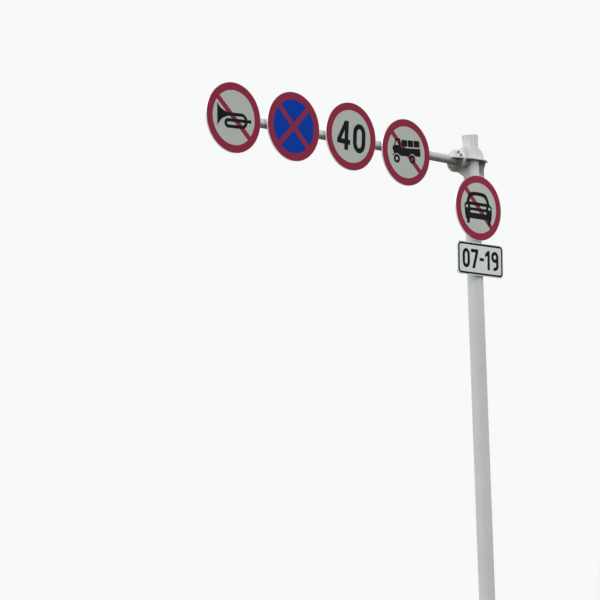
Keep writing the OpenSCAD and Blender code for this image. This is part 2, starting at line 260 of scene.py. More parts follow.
def settled_dust(tree):
    facing_up = tree.ramp(tree.facing_up(), 0.15, 0.95)
    clouds = tree.ramp(tree.noise(11, detail=6, roughness=0.65), 0.3, 0.7, 0.35, 1)
    return tree.product(facing_up, clouds, 0.85)


def below_plate(tree):
    """Where painted shade lies on the bracket and the joint below the level plate, less of it in
    spots on the flanges' rims.
    """
    x, y, z = tree.place()
    below = tree.ramp(z, PLATE_Z - 0.004, PLATE_Z - 0.012)
    high_up = tree.ramp(z, ARM_Z - 0.30, ARM_Z - 0.06)
    near = tree.ramp(x, -JOINT_X - 0.20, -JOINT_X - 0.14)
    # Distances from the axes of the mast and the arm are compared by their squares
    across = tree.math("POWER", y, 2)
    from_mast = tree.math("ADD", tree.math("POWER", x, 2), across)
    off_mast = tree.ramp(from_mast, (MAST_R + 0.002) ** 2, (MAST_R + 0.010) ** 2, 0.15, 1)
    rise = tree.product(x, math.tan(ARM_RISE))
    above_arm = tree.math("ADD", tree.math("ADD", z, -ARM_Z), rise)
    from_arm = tree.math("ADD", tree.math("POWER", above_arm, 2), across)
    off_rim = tree.ramp(from_arm, (FLANGE_R - 0.003) ** 2, (FLANGE_R - 0.0015) ** 2, 1, 0)
    behind_joint = tree.ramp(x, JOINT_BACK, JOINT_BACK + 0.002)
    spots = tree.ramp(tree.noise(38), 0.42, 0.58, 0.4, 0.95)
    on_rim = tree.math("MAXIMUM", off_rim, tree.math("MAXIMUM", behind_joint, spots))
    return tree.product(below, high_up, near, off_mast, on_rim)


def painted_shade_and_soot(tree):
    """Painted shade, with some soot, on undersides and on the bracket and the joint under the level
    plate.
    """
    facing_down = tree.ramp(tree.facing_up(), 0.0, -0.6)
    shaded_places = tree.math("MAXIMUM", facing_down, below_plate(tree))
    clouds = tree.ramp(tree.noise(14, detail=8, roughness=0.65), 0.3, 0.7, 0.74, 0.96)
    return tree.product(shaded_places, clouds)


def cap_stains(tree):
    stains = tree.ramp(tree.noise(21, (1, 1, 0.45), detail=5, roughness=0.6), 0.50, 0.62, 0, 0.75)
    return tree.product(stains, tree.band_below(tree.place()["Z"], MAST_TOP + 0.004, 0.085))


def seam_runs(tree):
    """Thin rust runs under the mast's cap and under the bracket's plate and webs."""
    height = tree.place()["Z"]
    threads = tree.ramp(tree.noise(1.0, (150, 150, 1.6), detail=3, roughness=0.5), 0.56, 0.68)
    places = tree.band_below(height, MAST_TOP, 0.22)
    for top, length in ((PLATE_Z - WEB_T / 2, 0.16), (ARM_Z - WEB_DOWN, 0.30)):
        places = tree.math("MAXIMUM", places, tree.band_below(height, top, length))
    return tree.product(threads, places, 0.55)


# The wear on the paint, with the painted shade and the painted light, in the order in which each
# lies there, with its colour
PAINT_WEAR_AND_PAINTED_LIGHT = (
    (traffic_haze, (0.50, 0.51, 0.485)),
    (foot_splashes, (0.37, 0.34, 0.275)),
    # The arm darker in grey clouds, most next to the bracket
    (arm_darkening, (0.36, 0.355, 0.325)),
    # Painted light on the bracket above the level plate
    (bracket_painted_light, (0.80, 0.81, 0.80)),
    # Painted shade on the mast under the level plate
    (mast_painted_shade_below_plate, (0.20, 0.205, 0.165)),
    (settled_dust, (0.47, 0.45, 0.385)),
    # Painted shade, with some soot, on undersides and under the level plate
    (painted_shade_and_soot, (0.155, 0.155, 0.12)),
    (cap_stains, (0.24, 0.25, 0.22)),
    (seam_runs, (0.34, 0.21, 0.12)),
)


def white_paint():
    """Gloss paint on steel after some years beside a road: mottled, streaked and dirty, with painted
    shade under the bracket and on undersides and painted light on the bracket above the level plate.
    """
    mat, tree, shader = new_material("white_paint")
    mottle = tree.ramp(tree.noise(2.2), 0.35, 0.65)
    streaks = tree.noise(1.0, (46, 46, 1.1), detail=6, roughness=0.62)
    grime = tree.noise(9, (1, 1, 0.6), detail=8, roughness=0.7)
    rust = rust_specks(tree)
    colour = tree.mix(mottle, (0.66, 0.68, 0.68), (0.735, 0.745, 0.735))
    colour = tree.mix(tree.ramp(streaks, 0.52, 0.74, 0, 0.42), colour, (0.47, 0.475, 0.44))
    colour = tree.mix(tree.ramp(grime, 0.56, 0.72, 0, 0.3), colour, (0.50, 0.49, 0.44))
    colour = tree.mix(rust, colour, (0.22, 0.085, 0.03))
    # Wear, dirt, painted shade and painted light, each mixed in with its colour
    for wear_and_painted_light, tone in PAINT_WEAR_AND_PAINTED_LIGHT:
        colour = tree.mix(wear_and_painted_light(tree), colour, tone)
    tree.feed(shader["Base Color"], colour)
    tree.feed(shader["Roughness"], tree.ramp(grime, 0.3, 0.75, 0.40, 0.64))
    shader["Specular IOR Level"].default_value = 0.22
    waves = tree.noise(14, (1, 1, 0.35), detail=3)
    orange_peel = tree.noise(330, detail=2)
    normal = tree.bump(waves, 0.12, 0.004)
    normal = tree.bump(orange_peel, 0.10, 0.0006, normal)
    tree.feed(shader["Normal"], tree.bump(rust, 0.3, 0.0008, normal))
    return mat


# Bare metal and films

def aluminium_sheet():
    """Mill-finish sheet: fine rolling lines and dull water marks."""
    mat, tree, shader = new_material("sign_sheet")
    lines = tree.noise(1.0, (5, 260, 900), detail=4, roughness=0.7)
    blots = tree.noise(7, (1, 1, 0.7), detail=6, roughness=0.65)
    colour = tree.mix(tree.ramp(lines, 0.35, 0.65), (0.56, 0.57, 0.58), (0.66, 0.67, 0.68))
    colour = tree.mix(tree.ramp(blots, 0.52, 0.68, 0, 0.5), colour, (0.43, 0.44, 0.43))
    tree.feed(shader["Base Color"], colour)
    tree.feed(shader["Roughness"], tree.ramp(blots, 0.35, 0.7, 0.40, 0.60))
    shader["Metallic"].default_value = 0.75
    normal = tree.bump(lines, 0.06, 0.0005)
    tree.feed(shader["Normal"], tree.bump(blots, 0.05, 0.002, normal))
    return mat


def toned(tone, red, green, blue):
    """A grey of this tone with a tint."""
    return (tone * red, tone * green, tone * blue)


def zinc(name, tone, rusty=False):
    """Hot-dip zinc with its crystal pattern, dulled, with rust spots where it is rusty."""
    mat, tree, shader = new_material(name)
    crystals = tree.nodes.new("ShaderNodeTexVoronoi")
    crystals.inputs["Scale"].default_value = 95
    tree.feed(crystals.inputs["Vector"], tree.coordinates())
    shade = tree.nodes.new("ShaderNodeSeparateColor")
    tree.feed(shade.inputs["Color"], crystals.outputs["Color"])
    stains = tree.ramp(tree.noise(26, (1, 1, 0.6), detail=6, roughness=0.65), 0.5, 0.7, 0, 0.55)
    colour = tree.mix(shade.outputs["Red"], toned(tone, 0.84, 0.86, 0.88),
                      toned(tone, 1.10, 1.12, 1.14))
    colour = tree.mix(stains, colour, toned(tone, 0.66, 0.65, 0.60))
    if rusty:
        spots = tree.ramp(tree.noise(60, (1, 1, 0.7), detail=6, roughness=0.7), 0.56, 0.78, 0, 0.9)
        colour = tree.mix(spots, colour, (0.24, 0.10, 0.04))
    tree.feed(shader["Base Color"], colour)
    tree.feed(shader["Roughness"], tree.ramp(shade.outputs["Green"], 0, 1, 0.42, 0.62))
    shader["Metallic"].default_value = 0.7
    normal = tree.bump(shade.outputs["Red"], 0.03, 0.0006)
    grain = tree.noise(500, detail=3)
    tree.feed(shader["Normal"], tree.bump(grain, 0.08, 0.0004, normal))
    return mat


def film_cells(tree):
    """0 on the seams between a film's small six-sided cells, 1 inside them."""
    seams = tree.nodes.new("ShaderNodeTexVoronoi")
    seams.feature = "DISTANCE_TO_EDGE"
    seams.inputs["Scale"].default_value = 210
    seams.inputs["Randomness"].default_value = 0.12
    tree.feed(seams.inputs["Vector"], tree.coordinates((1, 0.02, 1.12)))
    return tree.ramp(seams.outputs["Distance"], 0.02, 0.09)


def film(name, tone, cell_contrast=0.12, gloss=(0.24, 0.42), shine=0.12):
    """Sign film: fine cells under a smooth face, and rain dirt that runs down it."""
    mat, tree, shader = new_material(name)
    pale = tuple(min(1, c * 1.06 + 0.004) for c in tone)
    deep = tuple(c * (1 - cell_contrast) for c in tone)
    dirty = tuple(0.74 * c + 0.01 for c in tone)
    cells = film_cells(tree)
    runs = tree.noise(1.0, (70, 1, 2.2), detail=6, roughness=0.6)
    colour = tree.mix(tree.ramp(tree.noise(6.5), 0.35, 0.65), tone, pale)
    if cell_contrast:
        colour = tree.mix(cells, deep, colour)
    colour = tree.mix(tree.ramp(runs, 0.54, 0.76, 0, 0.4), colour, dirty)
    tree.feed(shader["Base Color"], colour)
    tree.feed(shader["Roughness"], tree.ramp(runs, 0.35, 0.7, *gloss))
    shader["Specular IOR Level"].default_value = shine
    normal = tree.bump(tree.noise(18, detail=2), 0.05, 0.002)
    tree.feed(shader["Normal"], tree.bump(cells, 0.05, 0.0002, normal))
    return mat


PAINT = white_paint()
SHEET = aluminium_sheet()
CLAMP_ZINC = zinc("clamp_zinc", 0.50)
BOLT_ZINC = zinc("bolt_zinc", 0.20, rusty=True)
FILM_WHITE = film("film_white", (0.505, 0.53, 0.487), 0.10)
PLATE_WHITE = film("plate_white", (0.69, 0.72, 0.715), 0.08)
FILM_RED = film("film_red", (0.285, 0.018, 0.050))
FILM_BLUE = film("film_blue", (0.0, 0.046, 0.385), shine=0.05)
FILM_BLACK = film("film_black", (0.005, 0.008, 0.009), 0, (0.34, 0.5), 0.04)


def dress_nodes():
    """Gives each node of the construction its finish."""
    for name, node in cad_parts.items():
        finish = PAINT
        if name.endswith("_panel"):
            finish = SHEET
        elif name.endswith(("_rails", "_saddles", "_straps")):
            finish = CLAMP_ZINC
        node.data.materials.clear()
        node.data.materials.append(finish)


# Outlines: lists of (x, y) points

def on_circle(radius, angle):
    """The point at an angle in radians."""
    return radius * math.cos(angle), radius * math.sin(angle)


def arc(cx, cy, rx, start, end, steps=24, ry=None):
    """Points on an arc from start to end degrees, both ends included; ry makes it elliptical."""
    ry = rx if ry is None else ry
    angles = [math.radians(start + (end - start) * k / steps) for k in range(steps + 1)]
    return [(cx + rx * math.cos(a), cy + ry * math.sin(a)) for a in angles]


def circle(cx, cy, r, steps=96):
    return arc(cx, cy, r, 0, 360, steps)[:-1]


def box_outline(x0, y0, x1, y1):
    return [(x0, y0), (x1, y0), (x1, y1), (x0, y1)]


def rounded_box(x0, y0, x1, y1, r, steps=12):
    return (arc(x1 - r, y1 - r, r, 0, 90, steps) + arc(x0 + r, y1 - r, r, 90, 180, steps)
            + arc(x0 + r, y0 + r, r, 180, 270, steps) + arc(x1 - r, y0 + r, r, 270, 360, steps))


def long_oval(x, y, w, h, end):
    """An upright outline: straight sides, and half ellipses of the height end above and below."""
    return (arc(x, y + h / 2 - end, w / 2, 0, 180, ry=end)
            + arc(x, y - h / 2 + end, w / 2, 180, 360, ry=end))


def stroke(path, width):
    """The outline of a line of constant width along path."""
    left, right = [], []
    for i, (x, y) in enumerate(path):
        x0, y0 = path[max(i - 1, 0)]
        x1, y1 = path[min(i + 1, len(path) - 1)]
        half = width / 2 / math.hypot(x1 - x0, y1 - y0)
        across_x, across_y = (y0 - y1) * half, (x1 - x0) * half
        left.append((x + across_x, y + across_y))
        right.append((x - across_x, y - across_y))
    return left + right[::-1]


def between(a, b, c, d, t):
    """The value at t, from 0 at b to 1 at c, on a smooth line through a, b, c and d."""
    return b + 0.5 * t * (c - a + t * (2 * a - 5 * b + 4 * c - d + t * (3 * b - 3 * c + d - a)))


def curve(points, steps=6):
    """A smooth line through points, both ends included."""
    padded = [points[0]] + points + [points[-1]]
    path = []
    for four in zip(padded, padded[1:], padded[2:], padded[3:]):
        xs, ys = zip(*four)
        for t in (k / steps for k in range(steps)):
            path.append((between(*xs, t), between(*ys, t)))
    return path + [points[-1]]


def mirror_x(points):
    """The same points on the other side of the Y axis, in the reverse order."""
    return [(-x, y) for x, y in reversed(points)]


def turned(loop, degrees):
    """A loop turned clockwise about the sign's centre."""
    cos, sin = on_circle(1, -math.radians(degrees))
    return [(x * cos - y * sin, x * sin + y * cos) for x, y in loop]


# Meshes: each function adds to a builder, and add_piece makes a piece of it

def add_piece(name, builder, finish, smooth=False):
    """Turns a builder's mesh into a piece that rides on the gantry."""
    mesh = bpy.data.meshes.new(name)
    bmesh.ops.recalc_face_normals(builder, faces=builder.faces)
    builder.to_mesh(mesh)
    builder.free()
    piece = bpy.data.objects.new(name, mesh)
    bpy.context.scene.collection.objects.link(piece)
    mesh.materials.append(finish)
    if smooth:
        mesh.polygons.foreach_set("use_smooth", [True] * len(mesh.polygons))
    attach(piece, "root")


def join_rings(builder, low, high):
    """Faces between two rings with the same number of points."""
    for k in range(len(low)):
        after = (k + 1) % len(low)
        builder.faces.new([low[k], low[after], high[after], high[k]])


def join_tube(builder, rings):
    """Faces along a row of rings."""
    for low, high in zip(rings, rings[1:]):
        join_rings(builder, low, high)


def close_ends(builder, rings):
    builder.faces.new(list(reversed(rings[0])))
    builder.faces.new(rings[-1])


def add_sheet(builder, loops, low, high, place):
    """A flat sheet between two heights: its outline, then the outlines of its openings."""
    points = [point for loop in loops for point in loop]
    bottom = [builder.verts.new(place @ Vector((x, y, low))) for x, y in points]
    top = [builder.verts.new(place @ Vector((x, y, high))) for x, y in points]
    for triangle in tessellate_polygon([[Vector((x, y, 0)) for x, y in loop] for loop in loops]):
        builder.faces.new([top[i] for i in triangle])
        builder.faces.new([bottom[i] for i in reversed(triangle)])
    start = 0
    for loop in loops:
        end = start + len(loop)
        join_rings(builder, bottom[start:end], top[start:end])
        start = end


def add_lathe(builder, profile, segments, place):
    """Turns a profile of (radius, height) points about the local Z axis into a closed solid."""
    rings = []
    for radius, height in profile:
        ring = [Vector((x, y, height)) for x, y in circle(0, 0, radius, segments)]
        rings.append([builder.verts.new(place @ point) for point in ring])
    join_tube(builder, rings)
    close_ends(builder, rings)


def add_bead(builder, points, radius, closed=False):
    """A weld bead: a tube along points whose thickness ripples and varies a little."""
    sides = 8
    ripple, ripple_turn = 0.10, 2.1
    unevenness = 0.05
    tapered_end = 0.55
    last = len(points) - 1
    rings = []
    for i, point in enumerate(points):
        before = points[i - 1] if i or closed else point
        after = points[(i + 1) % len(points)] if i < last or closed else point
        along = (after - before).normalized()
        if rings:
            side = (side - along * side.dot(along)).normalized()
        else:
            side = along.orthogonal().normalized()
        up = along.cross(side)
        swell = 1 + ripple * math.sin(i * ripple_turn) + unevenness * random.uniform(-1, 1)
        if not closed and i in (0, last):
            swell *= tapered_end
        rings.append([builder.verts.new(point + radius * swell * (u * side + v * up))
                      for u, v in circle(0, 0, 1, sides)])
    join_tube(builder, rings)
    if closed:
        seam_ring, first = rings[-1], rings[0]
        nearest = min(range(sides), key=lambda k: (seam_ring[0].co - first[k].co).length)
        join_rings(builder, seam_ring, first[nearest:] + first[:nearest])
    else:
        close_ends(builder, rings)


# Sign films, in millimetres from the sign's centre

FILM_R_MM = 396.5
FILM_T_MM = 0.35
# Where parts of one figure overlap, each lies this much above the one before it
OVERLAP_STEP_MM = 0.04
RING_IN_MM = 310
BAR_MM = 60
SLASH = 135
BACKSLASH = 45


def openings_between(bar_angles):
    """The openings that the red bars leave inside the ring."""
    half = BAR_MM / 2
    edge = math.degrees(math.asin(half / RING_IN_MM))
    rays = sorted(angle % 360 for bar in bar_angles for angle in (bar, bar + 180))
    openings = []
    for a, b in zip(rays, rays[1:] + [rays[0] + 360]):
        opening = arc(0, 0, RING_IN_MM, a + edge, b - edge, 40)
        if len(rays) > 2:
            corner_r = half / math.sin(math.radians((b - a) / 2))
            opening.append(on_circle(corner_r, math.radians((a + b) / 2)))
        openings.append(opening)
    return openings


# The figures: each returns a list of sheets, and each sheet is a list of loops

def ring_with_bars(bar_angles):
    openings = openings_between(bar_angles) if bar_angles else [circle(0, 0, RING_IN_MM)]
    return [[circle(0, 0, FILM_R_MM)] + openings]


def horn():
    """A bugle: bell to the left, one folded tube and a mouthpiece."""
    tube = 38
    top, mid, low = 36, -31, -102
    right_x, left_x, bell_x = 116, -87, -50
    above = [(-236, 160), (-205, 115), (-170, 87), (-130, 68), (-90, 58), (bell_x, top + tube / 2)]
    below = [(bell_x, top - tube / 2), (-90, 10), (-130, -2), (-170, -21), (-205, -52), (-248, -103)]
    bell = curve(above) + curve(below)
    outer_tube = ([(bell_x - 2, top)]
                  + arc(right_x, (top + low) / 2, (top - low) / 2, 90, -90)
                  + arc(left_x, (mid + low) / 2, (mid - low) / 2, 270, 90)
                  + [(left_x + 20, mid)])
    inner_tube = [(left_x + 10, mid), (200, mid)]
    mouthpiece = [(196, mid + 16), (258, mid + 20), (258, mid - 20), (196, mid - 16)]
    return [[bell], [stroke(outer_tube, tube)], [stroke(inner_tube, tube)], [mouthpiece]]


def truck():
    """A lorry that faces left, with three boxes on its bed."""
    wheel_r, hub_r = 52, 21
    arch_r, arch_reach = 64, 72
    front_x, rear_x, wheel_y = -163, 95, -81
    cab = [(-233, -46), (-229, -36), (-207, -22), (-218, 13), (-230, 42), (-219, 60), (-195, 84),
           (-170, 160), (-88, 160), (-88, 50)]
    bed = [(240, 50), (240, -44), (rear_x + arch_reach, -44)]
    between_wheels = [(rear_x - arch_reach, -48), (front_x + arch_reach, -48)]
    body = (cab + bed + arc(rear_x, wheel_y, arch_r, 40, 140) + between_wheels
            + arc(front_x, wheel_y, arch_r, 40, 140) + [(-223, -46)])
    window = [(-180, 81), (-159, 137), (-118, 137), (-118, 81)]
    wheels = [[circle(x, wheel_y, wheel_r), circle(x, wheel_y, hub_r)] for x in (front_x, rear_x)]
    boxes = [[rounded_box(left, 66, right, 146, 5)]
             for left, right in ((-68, 25), (33, 126), (134, 233))]
    return [[body, window]] + wheels + boxes


def car():
    """The front of a motor car, printed a little askew to the left of the sign's centre."""
    shift, lean = -8, -0.035
    roof_side = [(64, 192), (116, 184), (157, 161), (184, 113), (201, 64)]
    roof = curve(mirror_x(roof_side) + [(0, 194)] + roof_side)
    side = [(241, 26), (238, -70), (231, -115), (220, -142), (206, -162), (203, -194),
            (195, -202), (170, -202), (160, -194), (154, -138)]
    glass_side = [(52, 147), (96, 139), (121, 124), (141, 98), (155, 66)]
    screen = curve(mirror_x(glass_side) + [(0, 149)] + glass_side)
    grille = [box_outline(-140, -4, 140, 26), rounded_box(-140, -66, 140, -40, 8)]
    lamps = [circle(x, 6, 19, 32) for x in (-198, 198)]
    loops = [roof + side + mirror_x(side), screen] + grille + lamps
    return [[[(x + shift + lean * y, y) for x, y in loop] for loop in loops]]


def digit_0(x, y, w, h, line):
    end = 0.6 * w
    outer = long_oval(x, y, w, h, end)
    inner = long_oval(x, y, w - 2 * line, h - 2 * line, end - line)
    return [[outer, inner]]


def digit_1(x, y, h, line):
    top, foot = y + h / 2, y - h / 2
    return [[[(x + line / 2, top), (x + line / 2, foot), (x - line / 2, foot),
              (x - line / 2, top - 1.5 * line), (x - 1.45 * line, top - 2.0 * line),
              (x - 1.45 * line, top - 1.05 * line), (x - 0.35 * line, top)]]]


def digit_4(x, y, w, h, line):
    """The upright stands at the right, and the level stroke crosses it."""
    left, right = x - w / 2, x + w / 2
    top, foot = y + h / 2, y - h / 2
    stem = right - 0.15 * w
    bar = foot + 0.19 * h
    outer = [(stem, top), (stem, bar + line), (right, bar + line), (right, bar), (stem, bar),
             (stem, foot), (stem - line, foot), (stem - line, bar), (left, bar),
             (left, bar + 0.85 * line), (stem - 0.30 * w, top)]
    inner = [(stem - line, y + 0.175 * h), (stem - line, bar + line), (left + 0.31 * w, bar + line)]
    return [[outer, inner]]


def digit_7(x, y, w, h, line):
    top, foot = y + h / 2, y - h / 2
    left, right = x - w / 2, x + w / 2
    return [[[(left, top), (right, top), (right, top - 0.9 * line), (x + 0.02 * w, foot),
              (x - 0.02 * w - line, foot), (right - 1.15 * line, top - line), (left, top - line)]]]


def digit_9(x, y, w, h, line):
    """An oval bowl, and a tail that bends round under it."""
    bowl_half = w * 0.54
    bowl_y = y + h / 2 - bowl_half
    bowl = [arc(x, bowl_y, w / 2, 0, 360, 48, bowl_half)[:-1],
            arc(x, bowl_y, w / 2 - line, 0, 360, 48, bowl_half - line)[:-1]]
    bend = w / 2 - line / 2
    bend_y = y - h / 2 + line / 2 + bend
    tail = [(x + bend, bowl_y), (x + bend, bend_y)] + arc(x, bend_y, bend, 0, -125, 16)
    return [bowl, [stroke(tail, line)]]


def speed_figure():
    """A 40, with the 0 a hair lower than the 4."""
    pen = 60
    return digit_4(-118, 0, 208, 345, pen) + digit_0(130, -4, 200, 346, pen)


def hours_figure():
    """The hours 07-19 for the plate."""
    w, h, pen = 128, 236, 42
    return (digit_0(-252, 0, w, h, pen) + digit_7(-104, 0, w, h, pen)
            + [[box_outline(-18, -18, 62, 18)]]
            + digit_1(142, 0, h, pen) + digit_9(254, 0, w, h, pen))


# What each sign shows: its field, the angles of its red bars and its black figure. The signs
# hang a little askew, so rings, figures and the plate are turned, in degrees clockwise.
Sign = namedtuple("Sign", "field field_slot bars figure ring_turn figure_turn")
SIGNS = {
    "sign_1": Sign(FILM_WHITE, "film_white", [SLASH], horn, -1, -1),
    "sign_2": Sign(FILM_BLUE, "film_blue", [SLASH, BACKSLASH], None, 2, 0),
    "sign_3": Sign(FILM_WHITE, "film_white", [], speed_figure, 0, 5),
    "sign_4": Sign(FILM_WHITE, "film_white", [SLASH], truck, -0.5, -2),
    "mast_sign": Sign(FILM_WHITE, "film_white", [SLASH], car, 2, 2),
}
PLATE_TURN = 2


def face_frame(panel):
    """Frame on a panel's front: local X to the right, local Y up, local Z out of the face, in mm."""
    low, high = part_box(panel)
    centre = Vector(((low.x + high.x) / 2, low.y, (low.z + high.z) / 2))
    return Matrix.Translation(centre) @ Matrix.Rotation(math.pi / 2, 4, "X") @ Matrix.Scale(MM, 4)


def add_film(name, sheets, low_mm, place, finish, turn=0):
    builder = bmesh.new()
    for k, loops in enumerate(sheets):
        low = low_mm + k * OVERLAP_STEP_MM
        add_sheet(builder, [turned(loop, turn) for loop in loops], low, low + FILM_T_MM, place)
    add_piece(name, builder, finish)


def dress_round_sign(name, sign):
    """The field, the red ring on it and the black figure on top."""
    place = face_frame(name + "_panel")
    add_film(name + "_field", [[circle(0, 0, FILM_R_MM)]], 0, place, sign.field)
    add_film(name + "_ring", ring_with_bars(sign.bars), FILM_T_MM, place, FILM_RED,
             sign.ring_turn)
    if sign.figure:
        add_film(name + "_figure", sign.figure(), 2 * FILM_T_MM, place, FILM_BLACK,
                 sign.figure_turn)


def dress_plate():
    """The plate under the mast sign: a thin frame line and plain hours."""
    half_w, half_h, corner = 397, 197, 42
    inset, line, line_corner = 7, 24, 52
    place = face_frame("plate_panel")
    x, y = half_w - inset, half_h - inset
    field = [[rounded_box(-half_w, -half_h, half_w, half_h, corner)]]
    border = [[rounded_box(-x, -y, x, y, line_corner),
               rounded_box(-x + line, -y + line, x - line, y - line, line_corner - line)]]
    add_film("plate_field", field, 0, place, PLATE_WHITE, PLATE_TURN)
    for name, sheets in (("plate_border", border), ("plate_figures", hours_figure())):
        add_film(name, sheets, FILM_T_MM, place, FILM_BLACK, PLATE_TURN)


# Bolts: each end stands on local Z = 0, and its parts are shares of the bolt's diameter

ANCHOR_BOLT = 0.030
FLANGE_BOLT = 0.020
CLAMP_BOLT = 0.010
WASHER_R = 0.98
WASHER_T = 0.16
ACROSS_FLATS = 1.52
HEAD_H = 0.63
NUT_H = 0.82
SECOND_NUT_H = 0.5
THREAD_PITCH = 0.12


def add_washer(builder, size, place):
    profile = [(0.95, 0), (WASHER_R, 0.3 * WASHER_T), (WASHER_R, WASHER_T)]
    add_lathe(builder, [(r * size, z * size) for r, z in profile], 32, place)


def add_hex(builder, size, low, height, place):
    """A nut or a head with its top corners cut, turned at random, from low up."""
    corner = ACROSS_FLATS * size / math.sqrt(3)
    cut = 0.07 * ACROSS_FLATS * size
    profile = [(corner * 0.96, 0), (corner, cut * 0.3), (corner, height - cut),
               (corner * 0.86, height)]
    spin = Matrix.Rotation(random.uniform(0, math.pi), 4, "Z")
    add_lathe(builder, profile, 6, place @ Matrix.Translation((0, 0, low)) @ spin)


def add_thread(builder, size, low, high, place):
    """A bolt's threaded end, as closely spaced ridges."""
    radius = size / 2
    ridges = max(2, round((high - low) / (THREAD_PITCH * size)))
    step = (high - low) / ridges
    profile = [(radius * 0.86, low)]
    for k in range(ridges):
        profile += [(radius, low + (k + 0.4) * step), (radius * 0.86, low + (k + 0.95) * step)]
    profile.append((radius * 0.70, high + 0.1 * step))
    add_lathe(builder, profile, 20, place)


def add_head_end(builder, size, place):
    """Washer and hexagon head."""
    add_washer(builder, size, place)
    add_hex(builder, size, WASHER_T * size, HEAD_H * size, place)


def add_nut_end(builder, size, place, stick_out=0.35, second_nut=False):
    """Washer, one or two nuts, and the bolt's end, which sticks out of them."""
    add_washer(builder, size, place)
    top = WASHER_T * size
    for height in (NUT_H, SECOND_NUT_H) if second_nut else (NUT_H,):
        add_hex(builder, size, top, height * size, place)
        top += height * size
    add_thread(builder, size, top - 0.1 * size, top + stick_out * size, place)


def along_axis(direction):
    """A frame whose local Z points along direction."""
    return Vector(direction).to_track_quat("Z", "Y").to_matrix().to_4x4()


def make_anchor_nuts():
    builder = bmesh.new()
    for i in range(ANCHOR_COUNT):
        x, y = on_circle(ANCHOR_CIRCLE_R, (i + 0.5) * 2 * math.pi / ANCHOR_COUNT)
        place = Matrix.Translation((x, y, BASE_T))
        add_nut_end(builder, ANCHOR_BOLT, place, stick_out=0.9, second_nut=True)
    add_piece("anchor_nuts", builder, BOLT_ZINC)


def make_flange_bolts():
    """The joint's bolts: heads on the arm's flange, nuts on the mast's."""
    builder = bmesh.new()
    for angle in FLANGE_BOLT_ANGLES:
        y, z = on_circle(FLANGE_CIRCLE_R, math.radians(angle))
        head = Matrix.Translation((JOINT_FRONT, y, z)) @ along_axis((-1, 0, 0))
        nut = Matrix.Translation((JOINT_BACK, y, z)) @ along_axis((1, 0, 0))
        add_head_end(builder, FLANGE_BOLT, ARM_FRAME @ head)
        add_nut_end(builder, FLANGE_BOLT, ARM_FRAME @ nut)
    add_piece("flange_bolts", builder, BOLT_ZINC)


def make_clamp_bolts(name, place, tube_r, standoff, pitch):
    """Nuts on the clamp ears of one sign; the tube runs along local X of place."""
    builder = bmesh.new()
    ear_y = STRAP_T - tube_r - standoff
    ear_z = tube_r + SEAT_CLEAR + STRAP_T + (EAR_LEN + STRAP_BEND) / 2
    for x in (-pitch / 2, pitch / 2):
        for z in (-ear_z, ear_z):
            spot = Matrix.Translation((x, ear_y, z)) @ along_axis((0, 1, 0))
            add_nut_end(builder, CLAMP_BOLT, place @ spot, stick_out=0.5)
    add_piece(name, builder, BOLT_ZINC)


def make_all_clamp_bolts():
    for name in ("sign_1", "sign_2", "sign_3", "sign_4"):
        low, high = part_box(name + "_straps")
        along = (low.x + high.x) / 2 / math.cos(ARM_RISE)
        place = ARM_FRAME @ Matrix.Translation((along, 0, 0))
        make_clamp_bolts(name + "_bolts", place, ARM_R, ARM_STANDOFF, RAIL_PITCH)
    upright = Matrix.Rotation(math.pi / 2, 4, "Y")
    for name, pitch in (("mast_sign", RAIL_PITCH), ("plate", PLATE_RAIL_PITCH)):
        low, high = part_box(name + "_straps")
        place = Matrix.Translation((0, 0, (low.z + high.z) / 2)) @ upright
        make_clamp_bolts(name + "_bolts", place, MAST_R, MAST_STANDOFF, pitch)


# Weld beads: their radius on round seams, along plate edges, along the stub and under the cap

BEAD = 0.0055
EDGE_BEAD = 0.8 * BEAD
STUB_BEAD = 0.7 * BEAD
CAP_BEAD = 0.0035
BEAD_STEP = 0.0035
WANDER = 0.0004
# A seam stops this far before the end of a web or gusset
SEAM_SETBACK = 0.005
RIM_SETBACK = 0.006


def straight_seam(a, b):
    """Points from a to b, a bead step apart, with a little wander."""
    a, b = Vector(a), Vector(b)
    count = max(3, int((b - a).length / BEAD_STEP))
    return [a.lerp(b, k / count) + Vector([random.uniform(-WANDER, WANDER) for _ in range(3)])
            for k in range(count + 1)]


def round_seam(radius, point_at):
    """Points of a closed seam; point_at turns a point (u, v) of its circle into a place."""
    count = int(2 * math.pi * radius / BEAD_STEP)
    return [Vector(point_at(u, v)) for u, v in circle(0, 0, radius, count)]


def in_arm(points):
    return [ARM_FRAME @ p for p in points]


def mirrored(points):
    """The same points on the other side of the gantry's middle plane."""
    return [Vector((p.x, -p.y, p.z)) for p in points]


def make_base_welds():
    """Seams of the mast and the ribs on the base plate."""
    builder = bmesh.new()
    add_bead(builder, round_seam(MAST_R, lambda u, v: (u, v, BASE_T)), BEAD, closed=True)
    for i in range(ANCHOR_COUNT):
        turn = Matrix.Rotation(i * 2 * math.pi / ANCHOR_COUNT, 4, "Z")
        for y in (-RIB_T / 2, RIB_T / 2):
            corner = (MAST_R, y, BASE_T)
            up = straight_seam(corner, (MAST_R, y, BASE_T + RIB_H))
            out = straight_seam(corner, (RIB_END, y, BASE_T))
            for seam in (up, out):
                add_bead(builder, [turn @ p for p in seam], EDGE_BEAD)
    add_piece("base_welds", builder, PAINT, smooth=True)


def make_cap_weld():
    builder = bmesh.new()
    seam = round_seam(MAST_R - CAP_SETBACK, lambda u, v: (u, v, MAST_TOP))
    add_bead(builder, seam, CAP_BEAD, closed=True)
    add_piece("cap_weld", builder, PAINT, smooth=True)


def stub_on_mast(y, z):
    """Where the stub's line at (y, z) meets the mast, in the arm's frame."""
    x = (-math.sqrt(MAST_R ** 2 - y ** 2) - z * math.sin(ARM_RISE)) / math.cos(ARM_RISE)
    return x, y, z


